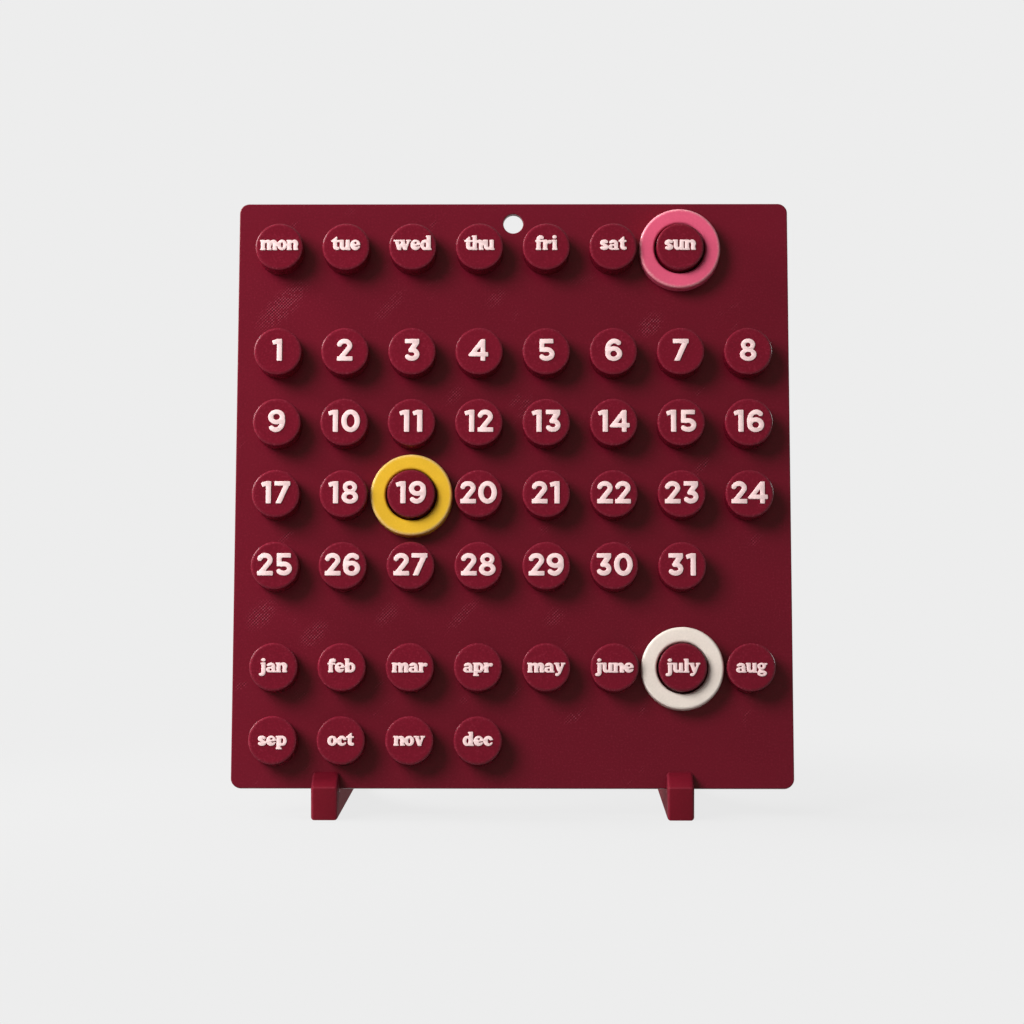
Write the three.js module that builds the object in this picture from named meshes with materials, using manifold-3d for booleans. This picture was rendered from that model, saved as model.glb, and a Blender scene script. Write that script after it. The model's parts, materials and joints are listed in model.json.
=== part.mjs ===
// Perpetual desk calendar.
// A flat panel leans back in two slotted feet. Fifty round pegs stand on its face: seven weekdays,
// thirty-one dates and twelve months. Three loose rings slip over the pegs that tell today's date.
// Millimetres, +Z up, the face towards -Y, the origin on the desk at the middle of the footprint.

import * as THREE from 'three';
import { mergeVertices } from 'three/addons/utils/BufferGeometryUtils.js';
import Module from 'manifold-3d';

const wasm = await Module();
wasm.setup();

// The names on the pegs, and the pegs that wear the rings
const weekdays = ['mon', 'tue', 'wed', 'thu', 'fri', 'sat', 'sun'];
const months = ['jan', 'feb', 'mar', 'apr', 'may', 'june', 'july', 'aug', 'sep', 'oct', 'nov', 'dec'];
const dateCount = 31;
const markedWeekday = 'peg_sun';
const markedDate = 'peg_date_19';
const markedMonth = 'peg_july';

// Clearances and the overrun of cuts
const seatGap = 0.3;
const studGap = 0.25;
const overrun = 1;

// A peg: a round button on a square stud
const pegDiameter = 17.1;
const pegStandoff = 9.34;
const pegEdgeChamfer = 0.5;
const studWidth = 8;

// A ring: it slips over a peg with some slack
const ringSlack = 0.65;
const ringBand = 5.5;
const ringThickness = 6.1;
const ringOuterRound = 1.2;
const ringInnerRound = 0.9;
const ringBore = pegDiameter + 2 * ringSlack;
const ringDiameter = ringBore + 2 * ringBand;

// The grid of pegs: a ring on one peg leaves room for the next peg beside it and below it
const columnCount = 8;
const roomBeside = 0.92;
const roomBelow = 2.7;
const columnPitch = (pegDiameter + ringDiameter) / 2 + roomBeside;
const rowPitch = (pegDiameter + ringDiameter) / 2 + roomBelow;

// A foot, with its lip in front of the panel and its arm behind it
const footWidth = 9.5;
const footLength = 106;
const footEdgeRound = 0.8;
const lipReach = 9;
const lipGrip = 5.8;
const lipCrown = 0.7;
const creaseRise = 1.2;
const panelRise = 10.26;
const armHeight = 62;
const armThickness = 5;
const armTipRound = 2;
const heelHeight = 6;
const heelRound = 2.5;
const leftFootInset = 33.9;
const rightFootInset = 40.6;

// The panel and the spaces round and between its groups of pegs
const panelThickness = 3;
const socketFloor = 1;
const panelCornerRadius = 3.5;
const panelEdgeChamfer = 0.35;
const leanDegrees = 10;
const sideMargin = 6.855;
const roomOverLip = 2;
const roomOverMonths = 10.3;
const roomOverDates = 12.65;
const topMargin = 18.2;
const socketDepth = panelThickness - socketFloor;
const panelWidth = (columnCount - 1) * columnPitch + pegDiameter + 2 * sideMargin;

// Heights of the rows of pegs up the face, from the panel's lower edge
const monthRows = Math.ceil(months.length / columnCount);
const dateRows = Math.ceil(dateCount / columnCount);
const lastMonthRow = lipGrip + roomOverLip + pegDiameter / 2;
const firstMonthRow = lastMonthRow + (monthRows - 1) * rowPitch;
const lastDateRow = firstMonthRow + rowPitch + roomOverMonths;
const firstDateRow = lastDateRow + (dateRows - 1) * rowPitch;
const weekdayRow = firstDateRow + rowPitch + roomOverDates;
const panelHeight = weekdayRow + topMargin;

// The nail hole, near the middle of the top edge
const nailHoleDiameter = 7.2;
const nailHoleDrop = 7.4;

// How finely round forms are divided
const pegSegments = 24;
const ringSegments = 40;
const roundSegments = 4;
const holeSegments = 24;
const cornerSegments = 5;
const footCurveSegments = 9;
const footRoundSegments = 2;

const lean = THREE.MathUtils.degToRad(leanDegrees);

function plastic(color, roughness) {
  return new THREE.MeshStandardMaterial({ color, roughness, metalness: 0 });
}

function panelPlastic() {
  return plastic(0x6e1b28, 0.5);
}

function pegPlastic() {
  return plastic(0x781624, 0.4);
}

function pinkPlastic() {
  return plastic(0xdc5a78, 0.45);
}

function yellowPlastic() {
  return plastic(0xe8b832, 0.45);
}

function offWhitePlastic() {
  return plastic(0xe2d8ca, 0.45);
}

// A closed geometry as a solid that can be cut and joined
function toSolid(geometry) {
  const bare = geometry.clone();
  bare.deleteAttribute('normal');
  bare.deleteAttribute('uv');
  const merged = mergeVertices(bare);
  const mesh = new wasm.Mesh({
    numProp: 3,
    vertProperties: Float32Array.from(merged.attributes.position.array),
    triVerts: Uint32Array.from(merged.index.array),
  });
  return new wasm.Manifold(mesh);
}

// A solid back as a geometry
function toGeometry(solid) {
  const mesh = solid.getMesh();
  const geometry = new THREE.BufferGeometry();
  geometry.setAttribute('position', new THREE.BufferAttribute(mesh.vertProperties, mesh.numProp));
  geometry.setIndex(new THREE.BufferAttribute(mesh.triVerts, 1));
  geometry.computeVertexNormals();
  return geometry;
}

function namedMesh(name, geometry, material) {
  const mesh = new THREE.Mesh(geometry, material);
  mesh.name = name;
  return mesh;
}

// A square post, centred on the axis, from one height to another
function squarePost(width, low, high) {
  const post = new THREE.BoxGeometry(width, width, high - low);
  post.translate(0, 0, (low + high) / 2);
  return toSolid(post);
}

// A round post, centred on the axis, from one height to another
function roundPost(diameter, low, high) {
  const post = new THREE.CylinderGeometry(diameter / 2, diameter / 2, high - low, holeSegments);
  post.rotateX(Math.PI / 2);
  post.translate(0, 0, (low + high) / 2);
  return toSolid(post);
}

// Where every peg stands: its name, its place across the panel and its height up the face
function pegPlaces() {
  const places = [];
  function addGroup(names, topRow) {
    names.forEach((name, index) => {
      const column = index % columnCount;
      const row = Math.floor(index / columnCount);
      const across = (column - (columnCount - 1) / 2) * columnPitch;
      places.push({ name: `peg_${name}`, across, up: topRow - row * rowPitch });
    });
  }
  const dates = Array.from({ length: dateCount }, (_, index) => {
    return `date_${String(index + 1).padStart(2, '0')}`;
  });
  addGroup(weekdays, weekdayRow);
  addGroup(dates, firstDateRow);
  addGroup(months, firstMonthRow);
  return places;
}

// The outline of the plate, centred across and standing on its lower edge
function plateOutline() {
  const radius = panelCornerRadius;
  const side = panelWidth / 2 - radius;
  const top = panelHeight - radius;
  const outline = new THREE.Shape();
  outline.absarc(side, radius, radius, -Math.PI / 2, 0);
  outline.absarc(side, top, radius, 0, Math.PI / 2);
  outline.absarc(-side, top, radius, Math.PI / 2, Math.PI);
  outline.absarc(-side, radius, radius, Math.PI, 1.5 * Math.PI);
  outline.closePath();
  return outline;
}

// The panel: a plate with chamfered edges, its face at zero height while it is made, with a blind
// square socket under each peg and the nail hole through it
function panel(places) {
  const plate = new THREE.ExtrudeGeometry(plateOutline(), {
    depth: panelThickness - 2 * panelEdgeChamfer,
    bevelThickness: panelEdgeChamfer,
    bevelSize: panelEdgeChamfer,
    bevelOffset: -panelEdgeChamfer,
    bevelSegments: 1,
    curveSegments: cornerSegments,
  });
  plate.translate(0, 0, panelEdgeChamfer - panelThickness);
  let solid = toSolid(plate);
  const socket = squarePost(studWidth + 2 * studGap, -socketDepth, overrun);
  for (const place of places) {
    solid = solid.subtract(socket.translate([place.across, place.up, 0]));
  }
  const nailHole = roundPost(nailHoleDiameter, -panelThickness - overrun, overrun);
  solid = solid.subtract(nailHole.translate([0, panelHeight - nailHoleDrop, 0]));
  return namedMesh('panel', toGeometry(solid), panelPlastic());
}

// A peg: a round button with a chamfered face, on a square stud that keeps its word upright
function pegSolid() {
  const radius = pegDiameter / 2;
  const profile = [
    new THREE.Vector2(0, seatGap),
    new THREE.Vector2(radius, seatGap),
    new THREE.Vector2(radius, pegStandoff - pegEdgeChamfer),
    new THREE.Vector2(radius - pegEdgeChamfer, pegStandoff),
    new THREE.Vector2(0, pegStandoff),
  ];
  const button = new THREE.LatheGeometry(profile, pegSegments);
  button.rotateX(Math.PI / 2);
  const stud = squarePost(studWidth, seatGap - socketDepth, seatGap + overrun);
  return toSolid(button).add(stud);
}

function peg(place, solid) {
  const mesh = namedMesh(place.name, toGeometry(solid), pegPlastic());
  mesh.position.set(place.across, place.up, 0);
  return mesh;
}

// The points of an arc in a lathe profile, a quarter turn on from the angle where it starts
function quarterRound(centreAcross, centreUp, radius, startAngle) {
  const points = [];
  for (let step = 0; step <= roundSegments; step += 1) {
    const angle = startAngle + ((Math.PI / 2) * step) / roundSegments;
    const across = centreAcross + radius * Math.cos(angle);
    const up = centreUp + radius * Math.sin(angle);
    points.push(new THREE.Vector2(across, up));
  }
  return points;
}

// A ring on its peg: flat behind, with its outer and inner front edges rounded
function ring(name, places, pegName, material) {
  const outer = ringDiameter / 2;
  const inner = ringBore / 2;
  const front = seatGap + ringThickness;
  const profile = [
    new THREE.Vector2(inner, seatGap),
    new THREE.Vector2(outer, seatGap),
    ...quarterRound(outer - ringOuterRound, front - ringOuterRound, ringOuterRound, 0),
    ...quarterRound(inner + ringInnerRound, front - ringInnerRound, ringInnerRound, Math.PI / 2),
    new THREE.Vector2(inner, seatGap),
  ];
  const geometry = new THREE.LatheGeometry(profile, ringSegments);
  geometry.rotateX(Math.PI / 2);
  const mesh = namedMesh(name, toGeometry(toSolid(geometry)), material);
  const place = places.find((candidate) => candidate.name === pegName);
  mesh.position.set(place.across, place.up, 0);
  return mesh;
}

// A point beside the leaning panel, given by its distance in front of the face and its height up the
// face. It comes out as distances back and up from the lower edge of the face.
function besidePanel(inFront, upFace) {
  const back = upFace * Math.sin(lean) - inFront * Math.cos(lean);
  const up = upFace * Math.cos(lean) + inFront * Math.sin(lean);
  return new THREE.Vector2(back, up);
}

// Goes on to a corner and round it, on the way to the point after it
function lineRoundCorner(outline, corner, next, radius) {
  const entry = outline.currentPoint.clone().sub(corner).setLength(radius).add(corner);
  const exit = next.clone().sub(corner).setLength(radius).add(corner);
  outline.lineTo(entry.x, entry.y);
  outline.quadraticCurveTo(corner.x, corner.y, exit.x, exit.y);
}

// The side outline of a foot: a crowned lip in front of the panel, a slot that takes its lower edge,
// an arm that follows its back, and a gusset that sweeps from the arm down to the heel
function footOutline() {
  const behind = -(panelThickness + seatGap);
  const desk = -panelRise;
  const heel = footLength - lipReach;
  const toe = new THREE.Vector2(-lipReach, desk);
  const crease = new THREE.Vector2(-lipReach, creaseRise);
  const lipTop = besidePanel(seatGap, lipGrip);
  const slotFront = besidePanel(seatGap, -seatGap);
  const slotBack = besidePanel(behind, -seatGap);
  const armFront = besidePanel(behind, armHeight);
  const armBack = besidePanel(behind - armThickness, armHeight);
  const armBase = besidePanel(behind - armThickness, 0);
  const heelLow = new THREE.Vector2(heel, desk);
  const heelTop = new THREE.Vector2(heel, desk + heelHeight);
  const sweep = new THREE.Vector2(armBase.x + armThickness, desk + heelHeight + armThickness);
  const crown = lipTop.clone().add(crease).divideScalar(2);
  crown.y += 2 * lipCrown;

  const outline = new THREE.Shape();
  outline.moveTo(toe.x, toe.y);
  lineRoundCorner(outline, heelLow, heelTop, heelRound);
  lineRoundCorner(outline, heelTop, sweep, heelRound);
  const sweepEnd = sweep.clone().sub(armBack).setLength(armTipRound).add(armBack);
  outline.quadraticCurveTo(sweep.x, sweep.y, sweepEnd.x, sweepEnd.y);
  lineRoundCorner(outline, armBack, armFront, armTipRound);
  outline.lineTo(armFront.x, armFront.y);
  outline.lineTo(slotBack.x, slotBack.y);
  outline.lineTo(slotFront.x, slotFront.y);
  outline.lineTo(lipTop.x, lipTop.y);
  outline.quadraticCurveTo(crown.x, crown.y, crease.x, crease.y);
  outline.closePath();
  return outline;
}

// A foot: its side outline made as wide as the foot, with the edges of both sides rounded
function foot(name, centre) {
  const geometry = new THREE.ExtrudeGeometry(footOutline(), {
    depth: footWidth - 2 * footEdgeRound,
    bevelThickness: footEdgeRound,
    bevelSize: footEdgeRound,
    bevelOffset: -footEdgeRound,
    bevelSegments: footRoundSegments,
    curveSegments: footCurveSegments,
  });
  geometry.translate(0, 0, footEdgeRound - footWidth / 2);
  const upright = new THREE.Matrix4().makeBasis(
    new THREE.Vector3(0, 1, 0),
    new THREE.Vector3(0, 0, 1),
    new THREE.Vector3(1, 0, 0),
  );
  geometry.applyMatrix4(upright);
  const mesh = namedMesh(name, toGeometry(toSolid(geometry)), panelPlastic());
  mesh.position.set(centre, 0, 0);
  return mesh;
}

// The panel with all that stands on it leans back about the lower edge of its face
function leaningPart() {
  const leaning = new THREE.Group();
  const places = pegPlaces();
  const pegShape = pegSolid();
  leaning.rotation.x = Math.PI / 2 - lean;
  leaning.add(panel(places));
  for (const place of places) {
    leaning.add(peg(place, pegShape));
  }
  leaning.add(ring('weekday_ring', places, markedWeekday, pinkPlastic()));
  leaning.add(ring('date_ring', places, markedDate, yellowPlastic()));
  leaning.add(ring('month_ring', places, markedMonth, offWhitePlastic()));
  return leaning;
}

// The desk is at zero height, and the feet from lip to heel are centred on the origin
const calendar = new THREE.Group();
calendar.position.set(0, lipReach - footLength / 2, panelRise);
calendar.add(leaningPart());
calendar.add(foot('foot_left', leftFootInset - panelWidth / 2));
calendar.add(foot('foot_right', panelWidth / 2 - rightFootInset));

export default calendar;
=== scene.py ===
import json
import math
import bpy
import numpy as np
from mathutils import Matrix, Vector, geometry


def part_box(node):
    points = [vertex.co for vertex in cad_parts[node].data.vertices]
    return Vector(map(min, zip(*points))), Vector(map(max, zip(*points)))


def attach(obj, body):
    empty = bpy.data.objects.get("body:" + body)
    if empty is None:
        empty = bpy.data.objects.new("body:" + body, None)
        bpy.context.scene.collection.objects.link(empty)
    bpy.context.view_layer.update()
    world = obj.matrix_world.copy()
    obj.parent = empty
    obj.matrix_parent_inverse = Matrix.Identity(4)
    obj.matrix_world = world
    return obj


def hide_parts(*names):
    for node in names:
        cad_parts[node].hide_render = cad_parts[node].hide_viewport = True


# A perpetual desk calendar in printed plastic: a leaning panel with fifty lettered pegs, three loose
# rings that mark the day, and two slotted feet. Metres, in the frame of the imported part.
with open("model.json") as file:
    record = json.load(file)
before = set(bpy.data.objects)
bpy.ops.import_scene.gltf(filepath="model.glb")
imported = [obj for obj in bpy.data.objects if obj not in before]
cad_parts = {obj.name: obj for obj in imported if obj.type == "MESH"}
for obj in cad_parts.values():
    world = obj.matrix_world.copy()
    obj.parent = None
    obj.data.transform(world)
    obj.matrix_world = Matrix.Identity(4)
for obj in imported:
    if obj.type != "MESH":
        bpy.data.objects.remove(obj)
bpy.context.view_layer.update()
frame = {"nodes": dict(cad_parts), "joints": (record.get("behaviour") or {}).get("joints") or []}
MM = 0.001
SHARP_ANGLE = math.radians(35)
# A narrow flat band inside a rounded edge, so that the round's shading stops there
EDGE_BAND = 0.1 * MM

# Colours as they look on the screen, from 0 to 255
PANEL_RED = (99, 12, 32)
PEG_RED = (104, 10, 30)
FOOT_RED = (109, 20, 35)
# A lighter red for wear, and for the painted highlight and sheen on rims, edges and print lines
WEAR_AND_HIGHLIGHT_RED = (146, 60, 76)
LETTER_PINK = (238, 206, 204)
RING_PINK = (217, 86, 117)
RING_YELLOW = (225, 177, 43)
RING_WHITE = (238, 225, 213)
# A lighter white for wear, and for the painted highlight on the rings' rims
WEAR_AND_HIGHLIGHT_WHITE = (245, 232, 220)
BACKGROUND_GREY = (237, 237, 237)
WHITE = (255, 255, 255)

# Gloss: on the dark red plastic it is a little warm
CLEAR_GLINT = (1, 1, 1, 1)
WARM_GLINT = (1, 0.95, 0.66, 1)
PANEL_ROUGHNESS = 0.35
PANEL_GLOSS = 0.17
FOOT_ROUGHNESS = 0.3
FOOT_GLOSS = 0.085
SIDE_ROUGHNESS = 0.75
LETTER_ROUGHNESS = 0.5
LETTER_GLOSS = 0.2
ROUGHNESS_SPREAD = 0.08

# Finish of the round pieces: how rough the face and the rim are, the gloss, the lighter colour of
# wear and painted highlight, how much of it the rim has, how wide the rim is and how far down it goes,
# and how far grain lightens the face and wears it
PEG_FINISH = dict(rough=0.35, rim_rough=0.19, gloss=0.16, wear_and_highlight_colour=WEAR_AND_HIGHLIGHT_RED, rim_wear_and_highlight=0.15,
                  rim_reach=1.2 * MM, wear_and_highlight_depth=1.2 * MM, grain_tone=0.5, grain_wear=1)
RING_FINISH = dict(rough=0.42, rim_rough=0.28, gloss=0.4, wear_and_highlight_colour=WEAR_AND_HIGHLIGHT_WHITE, rim_wear_and_highlight=0.34,
                   rim_reach=1.4 * MM, wear_and_highlight_depth=1.6 * MM, grain_tone=0.15, grain_wear=0.1)
# The share of that depth at which wear and painted highlight are full, and how much of them is even
# and how much is speckled, with the levels of the noise between which a speckle comes up
FULL_WEAR_AND_HIGHLIGHT_SHARE = 0.25
EVEN_WEAR_AND_HIGHLIGHT = 0.5
SPECKLED_WEAR_AND_HIGHLIGHT = 0.8
SPECKLE_START = 0.5
SPECKLE_END = 0.7
# How far below a round piece's face, or in from a foot's side, its marks start and are full
FACE_FADE_START = 0.05 * MM
SIDE_FADE_START = 0.1 * MM
FADE_END = 0.01 * MM

# The print: lines of plastic on the faces, broader beats that show in patches of painted sheen,
# and layers up the walls
LINE_WIDTH = 0.42 * MM
LINE_BEAT = 0.82 * MM
LAYER_HEIGHT = 0.2 * MM
LINE_DEPTH = 0.004 * MM
ROUND_LINE_DEPTH = 0.002 * MM
BEAT_DEPTH = 0.005 * MM
LAYER_DEPTH = 0.006 * MM
GRAIN_DEPTH = 0.01 * MM
BEAT_WANDER = 0.5 * MM
FOOT_LINE_SLANT = 0.6
PATCH_SIZE = 9 * MM
PATCH_DETAIL = 3
PATCH_STRETCH = 2.6
PATCH_START = 0.64
PATCH_END = 0.78
HOLE_LINES_REACH = 2 * MM
HOLE_LINE_PERIOD = 0.9 * MM
EDGE_LINES_REACH = 1.25 * MM
LINES_FADE = 0.4 * MM

# How large the blobs of each soft noise are
PANEL_CLOUD_SIZE = 45 * MM
ROUND_CLOUD_SIZE = 6 * MM
FOOT_CLOUD_SIZE = 12 * MM
LETTER_CLOUD_SIZE = 1.4 * MM
PANEL_WANDER_SIZE = 14 * MM
FOOT_WANDER_SIZE = 5 * MM
PANEL_GLOSS_SIZE = 3 * MM
FOOT_GLOSS_SIZE = 2 * MM
NOZZLE_GRAIN_SIZE = 0.5 * MM
DASH_SIZE = 1.3 * MM
GRAIN_SIZE = 0.7 * MM

# How far marks, clouds and grain lighten or darken the plastic, as shares of its colour
# The woven lines' tone, and how much lighter red they take as painted sheen
BEAT_TONE = 0.8
BEAT_SHEEN = 0.95
CROSS_SHARE = 0.65
SIDE_BEAT_TONE = 0.1
# The flat sides of a foot are painted darker, as shade
SIDE_SHADE = -0.4
HOLE_LINE_TONE = 0.07
CLOUD_TONE = 0.15
GRAIN_TONE = 0.34
GRAIN_WEAR = 0.5
LETTER_TONE = 0.12
PIECE_TONE = 0.06

# The levels of the noise between which a dash comes up, and above which a speck of wear does
DASH_START = 0.35
DASH_END = 0.65
GRAIN_START = 0.55

# Where the crossing lines show most, with painted sheen: across, up, half the length and half the
# width in mm, and how much
WOVEN_SPOTS = (
    (-84, 175, 14, 5, 1), (50, 168, 6, 4, 1), (-90, 62, 7, 4.5, 0.9), (-71, 55, 7, 4, 0.8),
    (-6, 178, 5, 3, 0.55), (-45, 175, 9, 3, 0.45), (-21, 142, 5, 2.5, 0.55), (1, 140, 4, 2, 0.5),
    (-45, 62, 6, 3.5, 0.6), (-18, 62, 9, 2.5, 0.6), (15, 61, 5, 3.5, 0.55), (87, 89, 4, 2, 0.4),
)
# How far out a spot is full and how softly it ends, as shares of its half length and width
SPOT_REACH = 0.7
SPOT_FADE = 0.45
# On a foot's edges a lighter line is painted as a highlight, a little in from its side, and one
# along the crease of its lip
FOOT_LINE_INSET = 0.45 * MM
FOOT_LINE_REACH = 0.3 * MM
FOOT_LINE_FADE = 0.25 * MM
FOOT_HIGHLIGHT = 0.45

# Pegs
PEG_SEAT = 0.02 * MM
PEG_EDGE_REACH = 1.1 * MM
PEG_EDGE_DROP = 0.6 * MM
PEG_EDGE_STEPS = 10
STUD_WIDTH = 8 * MM
STUD_DEPTH = 1.7 * MM
PEG_STEPS = 96

# Rings
RINGS = {
    "weekday_ring": (RING_PINK, "pink_plastic"),
    "date_ring": (RING_YELLOW, "yellow_plastic"),
    "month_ring": (RING_WHITE, "off_white_plastic"),
}
RING_BAND = 5.5 * MM
RING_OUTER_ROUND = 1 * MM
RING_INNER_ROUND = 0.9 * MM
RING_BACK_ROUND = 0.3 * MM
RING_ROUND_STEPS = 8
RING_BACK_STEPS = 4
RING_STEPS = 128

# Panel
PANEL_CORNER_RADIUS = 3.5 * MM
PANEL_EDGE_ROUND = 0.35 * MM
PANEL_ROUND_STEPS = 4
NAIL_HOLE_RADIUS = 3.6 * MM
NAIL_HOLE_DROP = 7.4 * MM
SOCKET_WIDTH = 8.5 * MM
SOCKET_DEPTH = 2 * MM
CORNER_STEPS = 14
HOLE_STEPS = 72

# Feet
LIP_REACH = 9 * MM
LIP_GRIP = 5.8 * MM
LIP_CROWN = 0.7 * MM
CREASE_RISE = 1.2 * MM
CREASE_ROUND = 0.4 * MM
PANEL_RISE = 10.26 * MM
ARM_HEIGHT = 62 * MM
ARM_THICKNESS = 5 * MM
ARM_TIP_ROUND = 2 * MM
HEEL_HEIGHT = 6 * MM
HEEL_ROUND = 2.5 * MM
FOOT_EDGE_ROUND = 1.2 * MM
FOOT_ROUND_STEPS = 6
FOOT_GAP = 0.3 * MM
SWEEP_STEPS = 28
LIP_STEPS = 14
HEEL_STEPS = 8
CREASE_STEPS = 4

# Lettering: it stands a little proud of the pegs and starts a little under their faces
CAP_HEIGHT = 8 * MM
WEEKDAY_HEIGHT = 3.8 * MM
MONTH_HEIGHT = 3.5 * MM
MONTH_STRETCH = 1.05
LETTER_RISE = 0.36 * MM
LETTER_SINK = 0.15 * MM
LETTER_EDGE_ROUND = 0.1 * MM
LETTER_ROUND_STEPS = 2
NUMERAL_GAP = 0.1
WORD_GAP = -0.02
WEEKDAY_LIFT = 0.5 * MM
NUMBER_LIFT = 0.35 * MM
MONTH_LIFT = -0.25 * MM
# The grid on which it is drawn: its step, its margin, and how many cells at its border stay empty
FIELD_STEP = 0.1 * MM
FIELD_MARGIN = 1 * MM
FIELD_BORDER = 3
NOZZLE_BLUR = np.array([1, 4, 6, 4, 1]) / 16
# An outline's points keep off the grid's, bend at least this much or are every second one, and a
# loop with no more than this many points is dropped
CROSSING_MARGIN = 0.04
LEAST_BEND = 0.02
SMALLEST_LOOP = 6

# The camera, where the photographer stood, with a long lens that looks slightly down
CAMERA_PLACE = (10.9 * MM, -1091.9 * MM, 130.66 * MM)
CAMERA_YAW = -0.6
CAMERA_PITCH = 1.22
SENSOR_WIDTH = 36
FOCAL_PIXELS = 2961
IMAGE_WIDTH = 1024
NEAREST_SEEN = 0.01
FURTHEST_SEEN = 50

# The studio. Its lamps: where each stands, how wide it is, its watts, and whether surfaces mirror it
LAMPS = {
    "key": ((-0.872, -0.969, 0.891), 0.85, 26.3, False),
    "edge": ((-0.787, 0.029, 0.62), 0.5, 16, True),
    "rim": ((0.75, -0.7, 0.1), 0.5, 0.3, True),
    "back_left": ((-0.85, 0.45, 0.35), 0.4, 1, True),
    "back_right": ((0.85, 0.45, 0.35), 0.4, 3.5, True),
}
FILL_LEVEL = 0.03
FLOOR_RADIUS = 6
FLOOR_STEPS = 64
FLOOR_DROP = 0.02 * MM
FLOOR_GREY = (135, 135, 135)
FLOOR_LIFT = 0.09
SHADOW_SHARE = 0.15
SHADOW_REACH = 0.21
SHADOW_FADE = 0.11


def linear(colour):
    """A screen colour as the linear values that a shader takes."""
    shares = [part / 255 for part in colour]
    return tuple(s / 12.92 if s <= 0.04045 else ((s + 0.055) / 1.055) ** 2.4 for s in shares) + (1,)


# Places on the leaning panel: across it, up its face and out from its face
OUT = Vector(next(j["axis"] for j in frame["joints"] if j["name"] == "date_ring_lift")).normalized()
ACROSS = Vector((1, 0, 0))
UP = OUT.cross(ACROSS)


def leaning_corners(node):
    """The lowest and highest places of a CAD node across, up and out, from the world's origin."""
    points = np.array([vertex.co for vertex in frame["nodes"][node].data.vertices])
    places = points @ np.array([ACROSS, UP, OUT]).T
    return places.min(axis=0), places.max(axis=0)


panel_from, panel_to = leaning_corners("panel")
PANEL_ORIGIN = UP * panel_from[1] + OUT * panel_to[2]
PANEL_WIDTH, PANEL_HEIGHT, PANEL_THICKNESS = (panel_to - panel_from).tolist()
PANEL_MIDDLE = PANEL_ORIGIN + UP * (PANEL_HEIGHT / 2)
PEG_NODES = sorted(node for node in frame["nodes"] if node.startswith("peg_"))


def placed(origin, x_axis, y_axis, z_axis):
    """The matrix that takes local places to the world."""
    matrix = Matrix((x_axis, y_axis, z_axis)).transposed().to_4x4()
    matrix.translation = origin
    return matrix


def on_panel(across, up, out):
    """Upright on the panel's face at that place."""
    return placed(PANEL_ORIGIN + ACROSS * across + UP * up + OUT * out, ACROSS, UP, OUT)


def seat_of(node):
    """The middle of a round node across and up, where it starts and ends out from the face, and its
    radius."""
    low, high = leaning_corners(node)
    middle = (low + high) / 2
    out = panel_to[2]
    return middle[0], middle[1] - panel_from[1], low[2] - out, high[2] - out, (high[0] - low[0]) / 2


def add_object(name, data):
    made = bpy.data.objects.new(name, data)
    bpy.context.scene.collection.objects.link(made)
    return made


def new_mesh(name, vertices, faces, material):
    """A mesh that is smooth apart from its sharp edges."""
    mesh = bpy.data.meshes.new(name)
    mesh.from_pydata(vertices, [], faces)
    mesh.set_sharp_from_angle(angle=SHARP_ANGLE)
    mesh.materials.append(material)
    mesh.validate()
    return mesh


def show(name, mesh, matrix, body):
    """A piece at its place that rides on a body."""
    piece = add_object(name, mesh)
    piece.matrix_world = matrix
    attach(piece, body)
    return piece


# Outlines and the solids made from them

def arc_points(across, up, radius, start, steps, turn=90):
    """The points of an arc from a start angle on through a turn, both in degrees."""
    angles = [math.radians(start + turn * step / steps) for step in range(steps + 1)]
    return [(across + radius * math.cos(a), up + radius * math.sin(a)) for a in angles]


def inset(loop, distance):
    """The loop moved towards its material, which lies on its left. A sharp corner moves less."""
    points = np.array(loop)
    ahead = np.roll(points, -1, axis=0) - points
    ahead /= np.linalg.norm(ahead, axis=1)[:, None]
    left = np.stack([-ahead[:, 1], ahead[:, 0]], axis=1)
    both = left + np.roll(left, 1, axis=0)
    scale = np.maximum((both ** 2).sum(axis=1) / 2, 0.5)
    return points + both * (distance / scale)[:, None]


def rounded_end(end, inwards, radius, steps, band=0):
    """The levels from a flat end over its rounded edge to the wall. A level is how far the outline is
    inset and at what height."""
    angles = [math.pi / 2 * step / steps for step in range(steps + 1)]
    levels = [(radius * (1 - math.sin(a)), end + inwards * radius * (1 - math.cos(a))) for a in angles]
    return [(radius + band, end)] + levels if band else levels


def rounded_levels(low, high, radius, steps):
    """The levels of a solid whose two ends are rounded alike."""
    high_end = rounded_end(high, -1, radius, steps, EDGE_BAND)
    return rounded_end(low, 1, radius, steps, EDGE_BAND) + high_end[::-1]


def bands(first, count, rings, closed=False):
    """The faces between rings of points, each ring with as many points, above the one before it."""
    faces = []
    for ring in range(rings if closed else rings - 1):
        low = first + ring * count
        high = first + (ring + 1) % rings * count
        faces += [(low + i, low + (i + 1) % count, high + (i + 1) % count, high + i)
                  for i in range(count)]
    return faces


def add_wall(loop, levels, vertices, faces):
    """Adds a loop's wall, and gives its lowest and its highest ring: the points and the first one's
    number."""
    first = len(vertices)
    rings = [inset(loop, distance) for distance, _ in levels]
    for ring, (_, height) in zip(rings, levels):
        vertices += [(x, y, height) for x, y in ring]
    faces += bands(first, len(loop), len(levels))
    return (rings[0], first), (rings[-1], len(vertices) - len(loop))


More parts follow.
